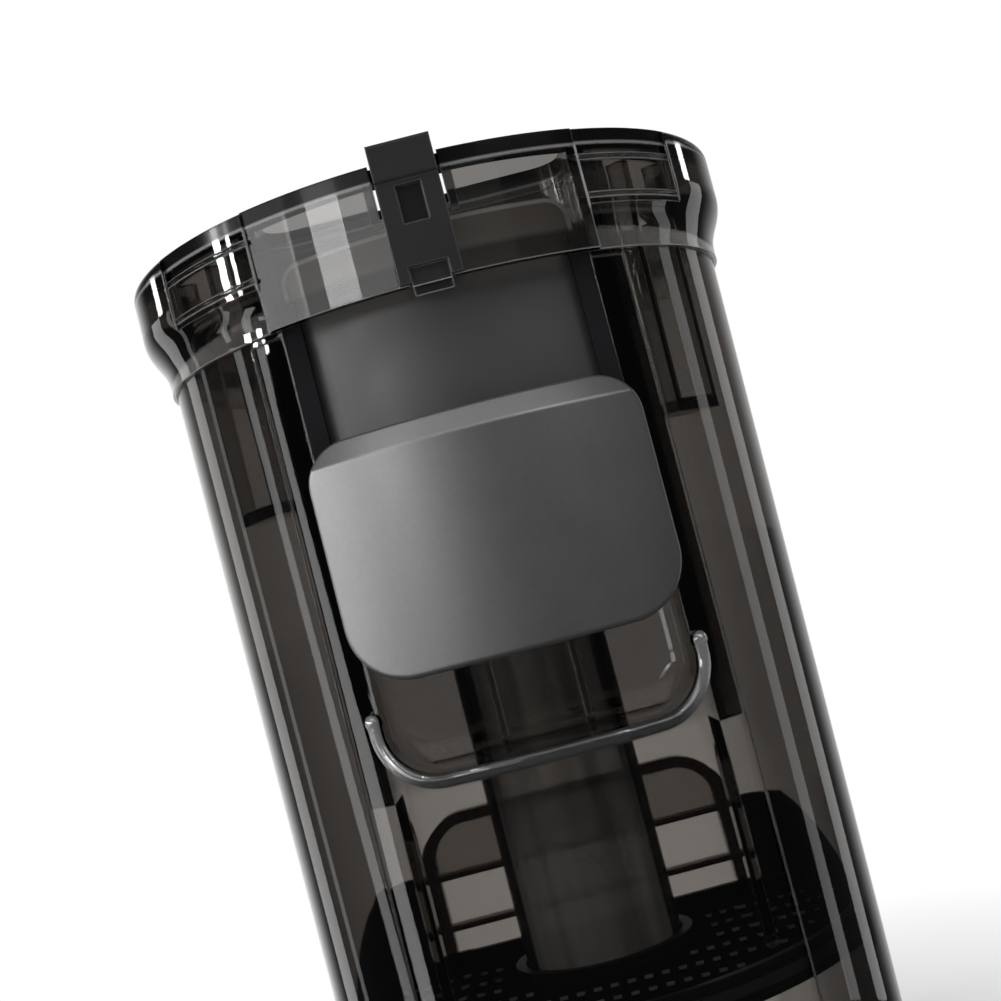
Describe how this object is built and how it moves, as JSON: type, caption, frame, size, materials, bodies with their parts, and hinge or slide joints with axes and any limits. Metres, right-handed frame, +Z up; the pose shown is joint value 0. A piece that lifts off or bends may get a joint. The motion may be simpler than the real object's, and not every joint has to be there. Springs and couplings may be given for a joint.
{
  "type": "water tank for a wet floor cleaner",
  "caption": "Smoked clear dirty-water tank with a flat back, a flared top collar, a standpipe, a lift-out strainer and a sprung slide latch with a thumb pad.",
  "frame": {"origin": "on the axis of the inlet bore, in the plane that the tank stands on", "axes": "+Z up along the tank's axis, -Y towards the latch, +X to the right as seen from the latch"},
  "size_m": [0.1226, 0.1, 0.1988],
  "materials": {
    "smoked_clear": "polished smoked clear",
    "seal_rubber": "matt",
    "strainer_black": "satin",
    "latch_grey": "satin",
    "pad_grey": "satin",
    "latch_black": "satin",
    "steel": "drawn"
  },
  "bodies": {
    "tank": {"tank_shell": "smoked_clear", "top_collar": "smoked_clear", "suction_pipe": "smoked_clear", "pipe_seal": "seal_rubber", "inlet_gasket": "seal_rubber", "strainer_frame": "strainer_black", "strainer_screen": "strainer_black", "strainer_seal": "seal_rubber", "strainer_handle": "smoked_clear", "left_slider_guide": "strainer_black", "right_slider_guide": "strainer_black", "left_return_spring": "steel", "right_return_spring": "steel"},
    "latch": {"latch_slider": "latch_grey", "grip_pad": "pad_grey", "pad_screws": "steel", "latch_bolt": "latch_black"}
  },
  "joints": [
    {"name": "latch_slide", "type": "slide", "parent": "tank", "child": "latch", "axis": [0, 0, -1], "range_m": [0, 0.005], "stiffness_N_per_m": 1700, "springref_m": -0.004, "deforming": ["left_return_spring", "right_return_spring"]}
  ]
}
